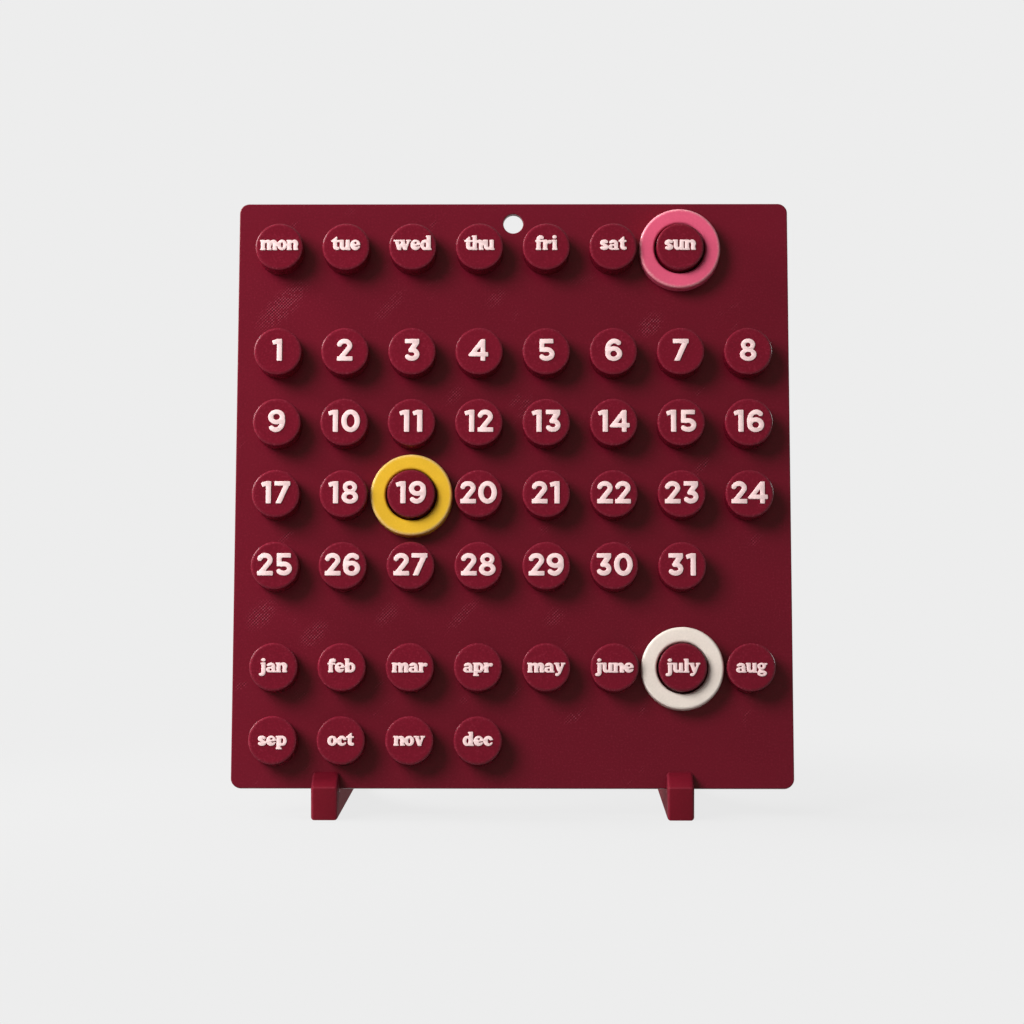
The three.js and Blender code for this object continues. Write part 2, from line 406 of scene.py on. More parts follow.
def prism(loops, levels, sockets=(), depth=0):
    """A solid that follows its levels, as vertices and faces. Outer loops run anticlockwise, holes and
    the blind sockets in its high end clockwise."""
    vertices, faces, low_rings, high_rings = [], [], [], []
    for loop in loops:
        lowest, highest = add_wall(loop, levels, vertices, faces)
        low_rings.append(lowest)
        high_rings.append(highest)
    high = levels[-1][1]
    for loop in sockets:
        (_, first), mouth = add_wall(loop, [(0, high - depth), (0, high)], vertices, faces)
        faces.append([first + i for i in reversed(range(len(loop)))])
        high_rings.append(mouth)
    fill(low_rings, False, faces)
    fill(high_rings, True, faces)
    return vertices, faces


def fill(rings, upward, faces):
    """Adds the flat end inside each outer ring, round its holes."""
    for group in with_their_holes(rings):
        loops = [[Vector((x, y, 0)) for x, y in ring] for ring, _ in group]
        points = [point for loop in loops for point in loop]
        numbers = [first + i for ring, first in group for i in range(len(ring))]
        for triangle in geometry.tessellate_polygon(loops):
            a, b, c = (points[k] for k in triangle)
            if ((b - a).cross(c - a).z > 0) != upward:
                triangle = triangle[::-1]
            faces.append([numbers[k] for k in triangle])


def with_their_holes(rings):
    """Each outer ring, in a list with the rings of its holes."""
    outer = [ring for ring in rings if signed_area(ring[0]) > 0]
    holes = [ring for ring in rings if signed_area(ring[0]) < 0]
    return [[ring] + [hole for hole in holes if surrounds(ring[0], hole[0][0])] for ring in outer]


def signed_area(loop):
    x, y = np.array(loop).T
    return (x * np.roll(y, -1) - y * np.roll(x, -1)).sum() / 2


def surrounds(loop, place):
    """Whether the loop turns once round the place."""
    x, y = (np.array(loop) - place).T
    next_x, next_y = np.roll(x, -1), np.roll(y, -1)
    turns = np.arctan2(x * next_y - y * next_x, x * next_x + y * next_y)
    return abs(turns.sum()) > math.pi


def lathe(profile, steps):
    """A closed profile of radius and height, from the axis to the axis or closed on itself, turned
    round the upright axis, as vertices and faces."""
    closed = profile[0] == profile[-1]
    rings = profile[:-1] if closed else profile[1:-1]
    vertices = []
    for radius, height in rings:
        vertices += [(x, y, height) for x, y in arc_points(0, 0, radius, 0, steps, 360)[:-1]]
    faces = bands(0, steps, len(rings), closed)
    if not closed:
        faces.append([i for i in reversed(range(steps))])
        faces.append([(len(rings) - 1) * steps + i for i in range(steps)])
    return vertices, faces


# Shaders

class Value:
    """What a node gives. A sum or a product of it makes nodes too."""

    def __init__(self, shader, socket):
        self.shader = shader
        self.socket = socket

    def __add__(self, other):
        return self.shader.math("ADD", self, other)

    def __sub__(self, other):
        return self.shader.math("SUBTRACT", self, other)

    def __rsub__(self, other):
        return self.shader.math("SUBTRACT", other, self)

    def __mul__(self, other):
        return self.shader.math("MULTIPLY", self, other)

    def __abs__(self):
        return self.shader.math("ABSOLUTE", self)


class Shader:
    """The nodes of a material or a world."""

    def __init__(self, owner):
        owner.use_nodes = True
        self.owner = owner
        self.tree = owner.node_tree

    def feed(self, socket, value):
        """Links a value to a socket, or sets the socket where the value is a number or a colour."""
        if isinstance(value, Value):
            self.tree.links.new(value.socket, socket)
        else:
            socket.default_value = value

    def node(self, kind, output, feeds=None, **settings):
        """What an output of a new node gives once its inputs are fed."""
        made = self.tree.nodes.new(kind)
        for key, setting in settings.items():
            setattr(made, key, setting)
        for key, value in (feeds or {}).items():
            self.feed(made.inputs[key], value)
        return Value(self, made.outputs[output])

    def math(self, operation, *values):
        return self.node("ShaderNodeMath", 0, dict(enumerate(values)), operation=operation)

    def larger(self, first, second):
        return self.math("MAXIMUM", first, second)

    def axes(self):
        """The place on the object, and its three parts."""
        place = self.node("ShaderNodeTexCoord", "Object")
        return [place] + [self.node("ShaderNodeSeparateXYZ", axis, {0: place}) for axis in "XYZ"]

    def noise(self, place, size, detail=2):
        """Soft noise round one half, whose blobs are about that size."""
        feeds = {"Vector": place, "Scale": 1 / size, "Detail": detail}
        return self.node("ShaderNodeTexNoise", "Fac", feeds)

    def step(self, value, start, end):
        """Nothing before start, all after end, and smooth between them."""
        feeds = {"Value": value, "From Min": start, "From Max": end}
        return self.node("ShaderNodeMapRange", "Result", feeds, interpolation_type="SMOOTHSTEP")

    def waves(self, value, period):
        """A wave from -1 to 1 that repeats with the period."""
        return self.math("SINE", value * (2 * math.pi / period))

    def reach(self, x, y):
        return self.math("SQRT", x * x + y * y)

    def near(self, value, reach, fade):
        """One up to the reach, fading to nothing round it."""
        return 1 - self.step(value, reach - fade, reach + fade)

    def cloud(self, place, size, spread):
        """Soft noise round zero."""
        return (self.noise(place, size) - 0.5) * spread

    def specks(self, place, spread):
        """Small spots of wear with nothing between them."""
        return self.larger(self.noise(place, GRAIN_SIZE) - GRAIN_START, 0) * spread

    def layers(self, z):
        """The relief of the print's layers."""
        return self.waves(z, LAYER_HEIGHT) * LAYER_DEPTH

    def lit(self, colour, amount):
        """The colour made lighter or darker by an amount round zero."""
        feeds = {"Color": linear(colour), "Value": amount + 1}
        return self.node("ShaderNodeHueSaturation", "Color", feeds)

    def with_wear_and_highlight(self, colour, wear_and_highlight_colour, share):
        """The colour with a share of a lighter one over it, for wear and for painted highlight."""
        feeds = {"Factor": share, "A": colour, "B": linear(wear_and_highlight_colour)}
        return self.node("ShaderNodeMix", "Result", feeds, data_type="RGBA")

    def finish(self, colour, roughness, gloss, relief, glint=CLEAR_GLINT):
        """relief is the real height of the surface in metres, and glint the tint of its gloss."""
        feeds = {"Strength": 1, "Distance": 1, "Height": relief}
        normal = self.node("ShaderNodeBump", "Normal", feeds)
        looks = {"Base Color": colour, "Roughness": roughness, "Specular IOR Level": gloss,
                 "Specular Tint": glint, "Normal": normal}
        for key, value in looks.items():
            self.feed(self.tree.nodes["Principled BSDF"].inputs[key], value)
        return self.owner

    def seen(self):
        """One for the camera's rays and for mirrored and transmitted ones, and nothing for others."""
        camera, mirrored, transmitted = (self.node("ShaderNodeLightPath", "Is " + kind + " Ray")
                                         for kind in ("Camera", "Glossy", "Transmission"))
        return self.larger(self.larger(camera, mirrored), transmitted)

    def glow(self, kind, colour, strength):
        return self.node(kind, 0, {"Color": linear(colour), "Strength": strength})

    def show_mix(self, share, first, second, default, output):
        """Shows the first surface with a share of the second, instead of the default one."""
        self.tree.nodes.remove(self.tree.nodes[default])
        mix = self.node("ShaderNodeMixShader", 0, {0: share, 1: first, 2: second})
        self.feed(self.tree.nodes[output].inputs["Surface"], mix)


def woven_patches(shader, along, beside):
    """How much the crossing lines show with their painted sheen: in a few listed spots, and in small
    patches by chance. Both are long in the direction of the lines."""
    stretched = shader.node("ShaderNodeCombineXYZ", 0, {0: along * (1 / PATCH_STRETCH), 1: beside})
    patches = shader.step(shader.noise(stretched, PATCH_SIZE, PATCH_DETAIL), PATCH_START, PATCH_END)
    for across, up, half_length, half_width, strength in WOVEN_SPOTS:
        length_share = (along - (across + up) * math.sqrt(0.5) * MM) * (1 / (half_length * MM))
        width_share = (beside - (across - up) * math.sqrt(0.5) * MM) * (1 / (half_width * MM))
        spot = shader.near(shader.reach(length_share, width_share), SPOT_REACH, SPOT_FADE)
        patches = shader.larger(patches, spot * strength)
    return patches


def woven_lines(shader, place, x, y):
    """Diagonal lines of plastic that cross and show in dashed patches of painted sheen, and fine ones
    between them.
    """
    along = (x + y) * math.sqrt(0.5)
    beside = (x - y) * math.sqrt(0.5)
    wander = shader.noise(place, PANEL_WANDER_SIZE) * BEAT_WANDER
    crossing_lines = shader.waves(along + wander, LINE_BEAT) * CROSS_SHARE
    beat = shader.waves(beside + wander, LINE_BEAT) + crossing_lines
    dashes = shader.step(shader.noise(place, DASH_SIZE), DASH_START, DASH_END)
    return beat * (woven_patches(shader, along, beside) * dashes), shader.waves(beside, LINE_WIDTH)


def hole_lines(shader, x, y):
    """How near the nail hole a place is, and the lines round the hole."""
    from_hole = shader.reach(x, y - (PANEL_HEIGHT - NAIL_HOLE_DROP)) - NAIL_HOLE_RADIUS
    near_hole = shader.near(from_hole, HOLE_LINES_REACH, LINES_FADE)
    return near_hole, shader.waves(from_hole, HOLE_LINE_PERIOD) * near_hole


def edge_lines(shader, x, y):
    """How near the panel's edge a place is, and the lines along the edge."""
    to_end = PANEL_HEIGHT / 2 - abs(y - PANEL_HEIGHT / 2)
    to_edge = shader.math("MINIMUM", PANEL_WIDTH / 2 - abs(x), to_end)
    near_edge = shader.near(to_edge, EDGE_LINES_REACH, LINES_FADE)
    return near_edge, shader.waves(to_edge, LINE_WIDTH) * near_edge


def panel_plastic():
    """Woven lines on the front, lightened in patches as painted sheen, a few lines round the nail hole
    and along the edge, and layers up the sides."""
    shader = Shader(bpy.data.materials.new("panel_plastic"))
    place, x, y, z = shader.axes()
    near_hole, round_hole = hole_lines(shader, x, y)
    near_edge, along_edge = edge_lines(shader, x, y)
    plain = (1 - near_hole) * (1 - near_edge)
    woven, fine = woven_lines(shader, place, x, y)
    woven = woven * (plain * shader.step(z, -PANEL_THICKNESS / 2, 0))
    clouds = shader.cloud(place, PANEL_CLOUD_SIZE, CLOUD_TONE)
    grain = shader.cloud(place, GRAIN_SIZE, GRAIN_TONE)
    shade = woven * BEAT_TONE + round_hole * HOLE_LINE_TONE + clouds + grain
    # The woven lines' lighter colour is painted sheen; the specks are wear
    wear_and_highlight = shader.larger(woven * BEAT_SHEEN, 0) + shader.specks(place, GRAIN_WEAR)
    flat_lines = fine * plain + along_edge
    relief = flat_lines * LINE_DEPTH + woven * BEAT_DEPTH + shader.layers(z)
    rough = shader.cloud(place, PANEL_GLOSS_SIZE, ROUGHNESS_SPREAD) + PANEL_ROUGHNESS
    colour = shader.with_wear_and_highlight(shader.lit(PANEL_RED, shade), WEAR_AND_HIGHLIGHT_RED, wear_and_highlight)
    return shader.finish(colour, rough, PANEL_GLOSS, relief, WARM_GLINT)


def round_relief(shader, place, x, y, z, top):
    """Layers up the wall of a round piece, fine lines on its face, and the nozzle's grain."""
    on_face = shader.step(z, top - FACE_FADE_START, top - FADE_END)
    lines = shader.waves(x + y, LINE_WIDTH * math.sqrt(2)) * on_face * ROUND_LINE_DEPTH
    return shader.layers(z) + lines + shader.noise(place, NOZZLE_GRAIN_SIZE) * GRAIN_DEPTH


def round_plastic(name, colour, radius, top, finish):
    """A printed round piece, with a lighter rim that is worn and carries a painted highlight. Each
    piece has its own clouds and grain.
    """
    shader = Shader(bpy.data.materials.new(name))
    place, x, y, z = shader.axes()
    seed = shader.node("ShaderNodeObjectInfo", "Random")
    place = shader.node("ShaderNodeVectorMath", 0, {0: place, 1: seed}, operation="ADD")
    rim = shader.step(shader.reach(x, y), radius - finish["rim_reach"], radius)
    depth = finish["wear_and_highlight_depth"]
    near_top = shader.step(z, top - depth, top - depth * FULL_WEAR_AND_HIGHLIGHT_SHARE)
    speckle = shader.step(shader.noise(place, GRAIN_SIZE), SPECKLE_START, SPECKLE_END)
    # The rim's lighter colour is wear, and a painted highlight round the edge
    rim_wear_and_highlight = rim * near_top * (speckle * SPECKLED_WEAR_AND_HIGHLIGHT + EVEN_WEAR_AND_HIGHLIGHT)
    wear_and_highlight = rim_wear_and_highlight * finish["rim_wear_and_highlight"] + shader.specks(place, finish["grain_wear"]) * near_top
    grain = shader.cloud(place, GRAIN_SIZE, finish["grain_tone"]) * near_top
    shade = shader.cloud(place, ROUND_CLOUD_SIZE, CLOUD_TONE) + grain + (seed - 0.5) * PIECE_TONE
    rough = rim * (finish["rim_rough"] - finish["rough"]) + finish["rough"]
    rough = rough + speckle * ROUGHNESS_SPREAD
    colour = shader.with_wear_and_highlight(shader.lit(colour, shade), finish["wear_and_highlight_colour"], wear_and_highlight)
    relief = round_relief(shader, place, x, y, z, top)
    return shader.finish(colour, rough, finish["gloss"], relief)


def foot_highlight_lines(shader, place, x, y, z, half_width):
    """Dashed lighter lines painted as highlights, a little in from a foot's sides and along the
    crease of its lip.
    """
    from_line = abs(half_width - FOOT_LINE_INSET - abs(z))
    from_crease = shader.reach(x + LIP_REACH, y - CREASE_RISE)
    edge_line, crease_line = (shader.near(distance, FOOT_LINE_REACH, FOOT_LINE_FADE)
                              for distance in (from_line, from_crease))
    return shader.larger(edge_line, crease_line) * FOOT_HIGHLIGHT * shader.noise(place, DASH_SIZE)


def foot_plastic(half_width):
    """A foot was printed on its side, so layers run along its outline and lines across its flat sides,
    which are duller and painted darker as shade."""
    shader = Shader(bpy.data.materials.new("foot_plastic"))
    place, x, y, z = shader.axes()
    on_side = shader.step(abs(z), half_width - SIDE_FADE_START, half_width - FADE_END)
    wander = shader.noise(place, FOOT_WANDER_SIZE) * BEAT_WANDER
    beat = shader.waves(x + y * FOOT_LINE_SLANT + wander, LINE_BEAT) * on_side
    clouds = shader.cloud(place, FOOT_CLOUD_SIZE, CLOUD_TONE)
    grain = shader.cloud(place, GRAIN_SIZE, GRAIN_TONE)
    # The flat sides are painted darker, as shade
    shade = clouds + beat * SIDE_BEAT_TONE + grain + on_side * SIDE_SHADE
    relief = shader.layers(z) + beat * BEAT_DEPTH
    rough = shader.cloud(place, FOOT_GLOSS_SIZE, ROUGHNESS_SPREAD) + FOOT_ROUGHNESS
    rough = rough + on_side * (SIDE_ROUGHNESS - FOOT_ROUGHNESS)
    # Lighter lines along the edges and the crease, painted as highlights
    wear_and_highlight = foot_highlight_lines(shader, place, x, y, z, half_width)
    colour = shader.with_wear_and_highlight(shader.lit(FOOT_RED, shade), WEAR_AND_HIGHLIGHT_RED, wear_and_highlight)
    return shader.finish(colour, rough, FOOT_GLOSS, relief, WARM_GLINT)


def letter_plastic():
    """Off-white pink plastic with a little unevenness from the nozzle."""
    shader = Shader(bpy.data.materials.new("lettering_plastic"))
    place = shader.axes()[0]
    relief = shader.noise(place, NOZZLE_GRAIN_SIZE) * GRAIN_DEPTH
    colour = shader.lit(LETTER_PINK, shader.cloud(place, LETTER_CLOUD_SIZE, LETTER_TONE))
    return shader.finish(colour, LETTER_ROUGHNESS, LETTER_GLOSS, relief)


# The numerals: a bold sans, drawn in a cap height of one
NUMERAL_BAR = 0.2
NUMERAL_STROKE = 0.215
# The words: a heavy lower case with soft slab feet, drawn in an x-height of one
STEM = 0.39
ASCENDER = 1.42
DESCENDER = -0.36
SERIF = 0.06
SERIF_RISE = 0.16


# A shape is a function of places that gives their distance to its outline, below zero inside it

def box(left, low, right, high):
    return lambda x, y: np.maximum(np.maximum(left - x, x - right), np.maximum(low - y, y - high))


def oval(across, up, half_width, half_height):
    def distance(x, y):
        reach = np.hypot((x - across) / half_width, (y - up) / half_height)
        return (reach - 1) * min(half_width, half_height)
    return distance


def stroke(points, width):
    """A line of one width through the points, with round ends."""
    def distance(x, y):
        nearest = np.full_like(x, np.inf)
        for (ax, ay), (bx, by) in zip(points, points[1:]):
            dx, dy = bx - ax, by - ay
            along = np.clip(((x - ax) * dx + (y - ay) * dy) / (dx * dx + dy * dy), 0, 1)
            nearest = np.minimum(nearest, np.hypot(x - ax - along * dx, y - ay - along * dy))
        return nearest - width / 2
    return distance


def bar(start, end, width):
    """A straight line of one width with square ends."""
    def distance(x, y):
        length = math.dist(start, end)
        ux, uy = (end[0] - start[0]) / length, (end[1] - start[1]) / length
        along = (x - start[0]) * ux + (y - start[1]) * uy
        beside = (y - start[1]) * ux - (x - start[0]) * uy
        return np.maximum(np.abs(along - length / 2) - length / 2, np.abs(beside) - width / 2)
    return distance


def arc(across, up, half_width, half_height, start, end, steps=24):
    angles = np.radians(np.linspace(start, end, steps))
    return [(across + half_width * np.cos(a), up + half_height * np.sin(a)) for a in angles]


def join(*shapes):
    return lambda x, y: np.minimum.reduce([shape(x, y) for shape in shapes])


def cut(shape, *holes):
    return lambda x, y: np.maximum.reduce([shape(x, y)] + [-hole(x, y) for hole in holes])


def within(shape, low, high, left=-np.inf, right=np.inf):
    """The part of a shape between two heights, and between two sides where they are given."""
    limits = box(left, low, right, high)
    return lambda x, y: np.maximum(shape(x, y), limits(x, y))


def moved(shape, across):
    return lambda x, y: shape(x - across, y)


def turned(shape, width):
    """A shape as wide as that and one high, turned upside down."""
    return lambda x, y: shape(width - x, 1 - y)


def zero():
    return cut(oval(0.415, 0.5, 0.415, 0.51), oval(0.415, 0.5, 0.18, 0.3))


def one():
    flick = bar((0.02, 0.83), (0.32, 0.93), 0.2)
    return join(box(0.21, 0, 0.44, 1), within(flick, 0, 1))


def two():
    hook = arc(0.34, 0.7, 0.235, 0.2, 165, -32)
    swan = within(stroke(hook + [(0.16, 0.12)], NUMERAL_STROKE), 0, 1.02, left=0)
    return join(swan, box(0, 0, 0.7, NUMERAL_BAR))


def three():
    bowl_line = stroke(arc(0.35, 0.3, 0.235, 0.195, 100, -145), NUMERAL_STROKE)
    brace = within(bar((0.68, 1.01), (0.33, 0.5), 0.24), 0.42, 1, right=0.68)
    return join(box(0.04, 1 - NUMERAL_BAR, 0.68, 1), brace, bowl_line)


def four():
    slope = within(bar((0.65, 1.03), (0, 0.19), 0.2), 0.2, 0.99, right=0.685)
    return join(box(0.48, 0, 0.685, 0.99), slope, box(0.05, 0.2, 0.82, 0.395))


def five():
    bowl_line = stroke(arc(0.38, 0.31, 0.26, 0.205, 112, -142), NUMERAL_STROKE)
    return join(box(0.07, 1 - NUMERAL_BAR, 0.69, 1), box(0.07, 0.41, 0.285, 1), bowl_line)


def six():
    back = stroke(arc(0.42, 0.5, 0.31, 0.405, 52, 215), NUMERAL_STROKE)
    return cut(join(back, oval(0.39, 0.325, 0.375, 0.335)), oval(0.39, 0.32, 0.15, 0.135))


def seven():
    leg = bar((0.13, -0.1), (0.59, 0.93), 0.225)
    return join(box(0, 1 - NUMERAL_BAR, 0.705, 1), within(leg, 0, 1))


def eight():
    solid = join(oval(0.37, 0.735, 0.315, 0.275), oval(0.37, 0.285, 0.37, 0.295))
    return cut(solid, oval(0.37, 0.725, 0.115, 0.1), oval(0.37, 0.29, 0.15, 0.115))


def nine():
    return turned(six(), 0.765)


def foot_slab(left):
    """The slab under a stem."""
    return box(left - SERIF, 0, left + STEM + SERIF, SERIF_RISE)


def head_slab(left, top):
    """The small slab to the left of a stem's head."""
    return box(left - 1.5 * SERIF, top - SERIF_RISE, left + STEM / 2, top)


def stem(left, low, top):
    return join(box(left, low, left + STEM, top), head_slab(left, top))


def arch(left):
    """The shoulder from a stem to the next one, with its slot."""
    shoulder = join(oval(left + 0.66, 0.62, 0.38, 0.39), box(left + 0.58, 0, left + 0.97, 0.62))
    slot = box(left + STEM, -0.1, left + 0.58, 0.56)
    crown = oval(left + 0.49, 0.56, 0.1, 0.17)
    return cut(join(shoulder, foot_slab(left + 0.58)), slot, crown)


def letter_a():
    belly = oval(0.38, 0.29, 0.37, 0.3)
    hood = stroke(arc(0.47, 0.6, 0.28, 0.25, 150, 0), 0.3)
    post = join(box(0.55, 0, 0.91, 0.62), box(0.6, 0, 1, SERIF_RISE))
    return cut(join(belly, hood, post), oval(0.46, 0.29, 0.1, 0.12),
               box(0, 0.555, 0.42, 0.63))


def letter_b():
    body = join(stem(0.06, 0, ASCENDER), oval(0.6, 0.5, 0.44, 0.51))
    return cut(body, oval(0.6, 0.5, 0.1, 0.26))


def letter_c():
    body = cut(oval(0.47, 0.5, 0.47, 0.51), oval(0.6, 0.5, 0.17, 0.26))
    return join(cut(body, box(0.6, 0.36, 1.1, 0.58)), oval(0.72, 0.7, 0.17, 0.15))


def letter_d():
    body = join(oval(0.44, 0.5, 0.44, 0.51), stem(0.6, 0, ASCENDER), box(0.7, 0, 1.08, SERIF_RISE))
    return cut(body, oval(0.46, 0.5, 0.1, 0.26))


def letter_e():
    mouth = bar((0.5, 0.36), (1.1, 0.46), 0.1)
    return cut(oval(0.48, 0.5, 0.48, 0.51), oval(0.51, 0.69, 0.12, 0.1), mouth)


def letter_f():
    hook = stroke(arc(0.5, 1.1, 0.2, 0.16, 180, 40), 0.33)
    return join(box(0.12, 0, 0.12 + STEM, 1.1), hook, box(0, 0.78, 0.76, 0.97), foot_slab(0.12))


def letter_g():
    top = cut(oval(0.43, 0.66, 0.41, 0.35), oval(0.43, 0.68, 0.1, 0.15))
    ear = stroke([(0.68, 0.84), (0.9, 0.9)], 0.2)
    link = stroke([(0.28, 0.36), (0.22, 0.12)], 0.22)
    tail = cut(oval(0.48, -0.06, 0.46, 0.31), oval(0.47, -0.09, 0.2, 0.06))
    return join(top, ear, link, tail)


def letter_h():
    return join(stem(0.06, 0, ASCENDER), arch(0.06), foot_slab(0.06))


def letter_i():
    return join(stem(0.1, 0, 1), foot_slab(0.1), oval(0.28, 1.27, 0.21, 0.17))


def letter_j():
    tail = stroke(arc(0.21, -0.08, 0.2, 0.13, 0, -120), 0.3)
    return join(stem(0.2, -0.08, 1), tail, oval(0.38, 1.27, 0.21, 0.17))


def letter_l():
    return join(stem(0.1, 0, ASCENDER), foot_slab(0.1))


def letter_m():
    return join(letter_n(), arch(0.59))


def letter_n():
    return join(stem(0.06, 0, 1), arch(0.06), foot_slab(0.06))


def letter_o():
    return cut(oval(0.47, 0.5, 0.47, 0.51), oval(0.47, 0.5, 0.105, 0.27))


def letter_p():
    body = join(stem(0.06, DESCENDER, 1), oval(0.6, 0.5, 0.44, 0.51),
                box(0, DESCENDER, 0.57, DESCENDER + SERIF_RISE))
    return cut(body, oval(0.6, 0.5, 0.1, 0.26))


def letter_r():
    arm = stroke(arc(0.66, 0.6, 0.24, 0.24, 160, 70), 0.24)
    return join(stem(0.06, 0, 1), arm, oval(0.7, 0.79, 0.19, 0.18), foot_slab(0.06))


def letter_s():
    spine = arc(0.42, 0.71, 0.25, 0.15, 30, 250, 12) + arc(0.42, 0.28, 0.26, 0.14, 70, -150, 12)
    return stroke(spine, 0.3)


def letter_t():
    toe = stroke(arc(0.53, 0.28, 0.2, 0.13, 180, 300), 0.3)
    peak = cut(box(0, 0.78, 0.55, 1.3), lambda x, y: (0.9 + 0.9 * x - y) * 0.75)
    return join(peak, box(0.16, 0.25, 0.55, 1), toe, box(0, 0.78, 0.75, 0.97))


def letter_u():
    slot = join(box(0.06 + STEM, 0.42, 0.62, 1.1), oval(0.535, 0.42, 0.085, 0.16))
    body = join(box(0.06, 0.36, 0.06 + STEM, 1), oval(0.42, 0.38, 0.36, 0.39),
                box(0.62, 0, 0.62 + STEM, 1), box(0.72, 0, 1.09, SERIF_RISE))
    return cut(join(body, head_slab(0.06, 1), head_slab(0.62, 1)), slot)


def letter_v():
    thick = bar((0.2, 1.1), (0.58, -0.1), 0.36)
    thin = bar((0.92, 1.1), (0.5, -0.1), 0.22)
    heads = join(box(-0.03, 0.84, 0.52, 1), box(0.62, 0.84, 1.07, 1))
    return join(within(join(thick, thin), 0, 1), heads)


def letter_w():
    return join(letter_v(), moved(letter_v(), 0.56))


def letter_y():
    thick = within(bar((0.2, 1.1), (0.6, -0.1), 0.36), 0.1, 1)
    thin = stroke([(0.9, 0.95), (0.55, 0.02), (0.38, -0.2)], 0.24)
    heads = join(box(-0.03, 0.84, 0.52, 1), box(0.64, 0.84, 1.09, 1))
    return join(thick, within(thin, -0.4, 1), heads, oval(0.28, -0.2, 0.2, 0.16))


# The shape of each numeral and letter, and how wide it is set
NUMERALS = {
    "0": (zero(), 0.83), "1": (one(), 0.49), "2": (two(), 0.7), "3": (three(), 0.71),
    "4": (four(), 0.82), "5": (five(), 0.75), "6": (six(), 0.765), "7": (seven(), 0.705),
    "8": (eight(), 0.74), "9": (nine(), 0.765),
}
LETTERS = {
    "a": (letter_a(), 0.98), "b": (letter_b(), 1.04), "c": (letter_c(), 0.9), "d": (letter_d(), 1.06),
    "e": (letter_e(), 0.96), "f": (letter_f(), 0.72), "g": (letter_g(), 0.94), "h": (letter_h(), 1.07),
    "i": (letter_i(), 0.55), "j": (letter_j(), 0.65), "l": (letter_l(), 0.55), "m": (letter_m(), 1.62),
    "n": (letter_n(), 1.07), "o": (letter_o(), 0.94), "p": (letter_p(), 1.04), "r": (letter_r(), 0.88),
    "s": (letter_s(), 0.84), "t": (letter_t(), 0.75), "u": (letter_u(), 1.08), "v": (letter_v(), 1.04),
    "w": (letter_w(), 1.6), "y": (letter_y(), 1.06),
}


def word_field(text, glyphs, size, stretch, gap):
    """The distance to the outline of a word, below zero inside it, on a grid, with the grid's first
    place. The word is centred, with its middle height at zero."""
    width = sum(glyphs[letter][1] for letter in text) + gap * (len(text) - 1)
    half_width = width * size * stretch / 2 + FIELD_MARGIN
    half_height = size + FIELD_MARGIN
    xs = np.arange(-half_width, half_width, FIELD_STEP)
    ys = np.arange(-half_height, half_height, FIELD_STEP)
    x, y = np.meshgrid(xs, ys, indexing="ij")
    field = np.full_like(x, FIELD_MARGIN / size)
    left = -width / 2
    for letter in text:
        shape, advance = glyphs[letter]
        field = np.minimum(field, shape(x / size / stretch - left, y / size + 0.5))
        left += advance + gap
    return soften(field * size), xs[0], ys[0]


def soften(field):
    """The field blurred a little, which rounds the corners of its outline as a nozzle does."""
    for axis in (0, 1):
        field = np.apply_along_axis(lambda line: np.convolve(line, NOZZLE_BLUR, "same"), axis, field)
    for border in (field, field.T):
        border[:FIELD_BORDER] = FIELD_MARGIN
        border[-FIELD_BORDER:] = FIELD_MARGIN
    return field


# For each pattern of inside corners of a grid cell, the pairs of sides that its outline joins, with
# the inside on the left. Corners and sides are numbered anticlockwise from the lower left.
CELL_LINES = {
    1: [(0, 3)], 2: [(1, 0)], 3: [(1, 3)], 4: [(2, 1)], 5: [(0, 3), (2, 1)], 6: [(2, 0)],
    7: [(2, 3)], 8: [(3, 2)], 9: [(0, 2)], 10: [(1, 0), (3, 2)], 11: [(1, 2)], 12: [(3, 1)],
    13: [(0, 1)], 14: [(3, 0)],
}
CELL_CORNERS = [(0, 0), (1, 0), (1, 1), (0, 1)]


def outlines(field, left, low):
    """The loops where the field crosses zero, with the inside on their left."""
    inside = field < 0
    pattern = sum((inside[i:field.shape[0] - 1 + i, j:field.shape[1] - 1 + j].astype(int) << bit)
                  for bit, (i, j) in enumerate(CELL_CORNERS))
    following, places = {}, {}
    for i, j in zip(*np.nonzero((pattern > 0) & (pattern < 15))):
        for start, end in CELL_LINES[pattern[i, j]]:
            keys = [side_key(i, j, start), side_key(i, j, end)]
            for key in keys:
                if key not in places:
                    places[key] = crossing(field, key, left, low)
            following[keys[0]] = keys[1]
    loops = []
    while following:
        first, here = following.popitem()
        loop = [first]
        while here != first:
            loop.append(here)
            here = following.pop(here)
        loops.append(plain_loop([places[key] for key in loop]))
    return [loop for loop in loops if len(loop) > SMALLEST_LOOP]


def side_key(i, j, side):
    """A name for a side of a cell that its neighbour shares: the two grid points that it joins."""
    (ai, aj), (bi, bj) = CELL_CORNERS[side], CELL_CORNERS[(side + 1) % 4]
    return tuple(sorted([(i + ai, j + aj), (i + bi, j + bj)]))


def crossing(field, key, left, low):
    """Where the field crosses zero on a side of a cell, kept off its ends."""
    (ai, aj), (bi, bj) = key
    share = field[ai, aj] / (field[ai, aj] - field[bi, bj])
    share = min(max(share, CROSSING_MARGIN), 1 - CROSSING_MARGIN)
    return (left + (ai + share * (bi - ai)) * FIELD_STEP, low + (aj + share * (bj - aj)) * FIELD_STEP)


def plain_loop(loop):
    """The loop without every second point of its straight stretches, twice over."""
    points = np.array(loop)
    for _ in range(2):
        before, after = points - np.roll(points, 1, axis=0), np.roll(points, -1, axis=0) - points
        turn = np.abs(before[:, 0] * after[:, 1] - before[:, 1] * after[:, 0])
        bend = turn / (np.linalg.norm(before, axis=1) * np.linalg.norm(after, axis=1))
        keep = (bend > LEAST_BEND) | (np.arange(len(points)) % 2 == 0)
        points = points[keep]
    return [tuple(point) for point in points]


# The pieces

